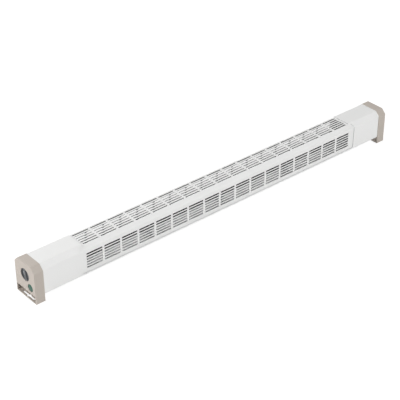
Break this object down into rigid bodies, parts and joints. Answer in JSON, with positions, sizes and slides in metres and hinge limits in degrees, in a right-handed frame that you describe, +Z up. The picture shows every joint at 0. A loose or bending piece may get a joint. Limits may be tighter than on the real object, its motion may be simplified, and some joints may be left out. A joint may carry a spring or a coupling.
{
  "type": "plinth heater",
  "caption": "Long, low electric plinth heater: slotted white steel duct with a finned element inside, between beige end caps with feet, dial and round switch.",
  "frame": {"origin": "middle of the footprint, on the floor under the feet", "axes": "+X along the heater from the control end to the plain end, the front faces -Y, +Z up"},
  "size_m": [0.89, 0.061, 0.075],
  "materials": {
    "white_coating": "powder-coated sheet steel, satin, slight orange peel",
    "beige_moulding": "moulded thermoplastic, fine spark texture",
    "dark_knob": "moulded thermoset, satin",
    "green_rocker": "polycarbonate, translucent, polished",
    "brown_bakelite": "phenolic, moulded",
    "galvanised_steel": "galvanised sheet, spangled",
    "zinc_screw": "zinc-plated",
    "copper": "drawn copper",
    "brass_part": "turned brass",
    "black_rubber": "moulded rubber",
    "white_nylon": "moulded nylon",
    "ceramic": "steatite ceramic, unglazed",
    "dark_sheath": "oxidised stainless steel sheath",
    "dark_fin": "mild steel fin, heat-darkened",
    "aluminised_sheet": "aluminised steel, dull",
    "brown_lead": "silicone insulation",
    "blue_lead": "silicone insulation",
    "green_yellow_lead": "silicone insulation"
  },
  "bodies": {
    "body": {"casing": "white_coating", "grille": "white_coating", "control_end_cap": "beige_moulding", "plain_end_cap": "beige_moulding", "thermostat_body": "brown_bakelite", "thermostat_bracket": "galvanised_steel", "thermostat_screws": "zinc_screw", "capillary_tube": "copper", "sensor_bulb": "copper", "bulb_clip": "galvanised_steel", "switch_housing": "white_nylon", "switch_tabs": "brass_part", "terminal_block": "white_nylon", "terminal_screws": "brass_part", "cable_grommet": "black_rubber", "cord_clamp": "galvanised_steel", "cord_clamp_screws": "zinc_screw", "element_rod": "dark_sheath", "element_fins": "dark_fin", "element_bushes": "ceramic", "element_terminals": "zinc_screw", "element_brackets": "galvanised_steel", "reflector_rivets": "zinc_screw", "left_bulkhead": "galvanised_steel", "right_bulkhead": "galvanised_steel", "heat_reflector": "aluminised_sheet", "overheat_cutout": "brown_bakelite", "cutout_screws": "zinc_screw", "supply_lead": "brown_lead", "switched_lead": "brown_lead", "cutout_lead": "brown_lead", "element_lead": "brown_lead", "return_lead": "blue_lead", "earth_stud": "brass_part", "earth_lead": "green_yellow_lead", "floor_screws": "zinc_screw", "cap_screws": "zinc_screw"},
    "dial": {"thermostat_dial": "dark_knob", "thermostat_spindle": "zinc_screw"},
    "rocker": {"switch_rocker": "green_rocker"}
  },
  "joints": [
    {"name": "dial_turn", "type": "hinge", "parent": "body", "child": "dial", "pos_m": [-0.44, 0, 0.04875], "axis": [1, 0, 0], "range_deg": [0, 270]},
    {"name": "switch_rock", "type": "hinge", "parent": "body", "child": "rocker", "pos_m": [-0.4418, -0.01475, 0.028], "axis": [0, 0, -1], "range_deg": [0, 12]}
  ]
}
